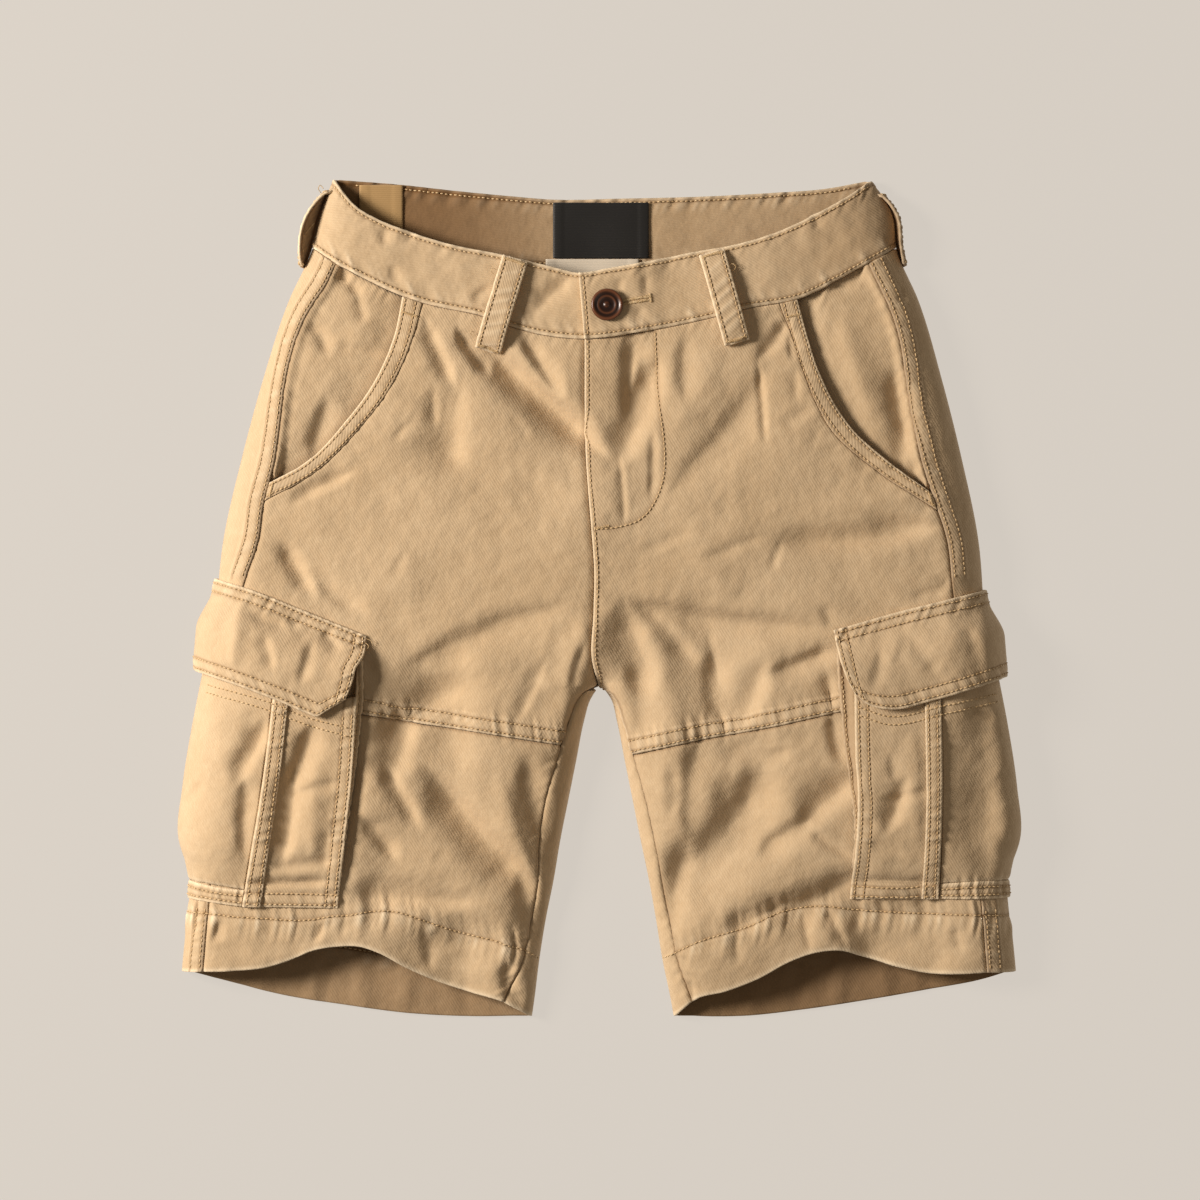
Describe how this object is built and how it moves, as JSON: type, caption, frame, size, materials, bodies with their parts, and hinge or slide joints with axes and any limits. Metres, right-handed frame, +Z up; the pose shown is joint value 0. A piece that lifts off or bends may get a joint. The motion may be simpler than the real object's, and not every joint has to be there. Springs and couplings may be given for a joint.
{
  "type": "cargo shorts",
  "caption": "Knee-length cotton cargo shorts laid flat, with slant pockets, flapped bellows side pockets, belt loops and a buttoned waistband.",
  "frame": {"origin": "on the table, under the middle of the garment's bounding box", "axes": "+Z up from the table through the garment's thickness, +Y from the crotch to the waistband, +X towards the wearer's left"},
  "size_m": [0.5248, 0.5198, 0.04],
  "materials": {
    "twill": "washed khaki cotton twill, matte, paler along worn edges",
    "button": "dark brown moulded button with a worn coppery rim",
    "black_tape": "black woven satin label, bare",
    "tan_tape": "pale tan woven tape, bare",
    "white_tape": "off-white woven care label, bare"
  },
  "bodies": {
    "root": {"waistband": "twill", "right_front_upper": "twill", "right_front_lower": "twill", "right_back": "twill", "right_slant_facing": "twill", "right_slant_band": "twill", "right_front_belt_loop": "twill", "right_side_belt_loop": "twill", "right_cargo_patch": "twill", "right_cargo_strip": "twill", "right_cargo_pleat": "twill", "right_cargo_gusset": "twill", "right_cargo_base_band": "twill", "right_cargo_flap": "twill", "left_front_upper": "twill", "left_front_lower": "twill", "left_back": "twill", "left_slant_facing": "twill", "left_slant_band": "twill", "left_front_belt_loop": "twill", "left_side_belt_loop": "twill", "left_cargo_patch": "twill", "left_cargo_strip": "twill", "left_cargo_pleat": "twill", "left_cargo_gusset": "twill", "left_cargo_base_band": "twill", "left_cargo_flap": "twill", "waist_button": "button", "main_label": "black_tape", "size_tape": "tan_tape", "care_label": "white_tape"}
  },
  "joints": []
}
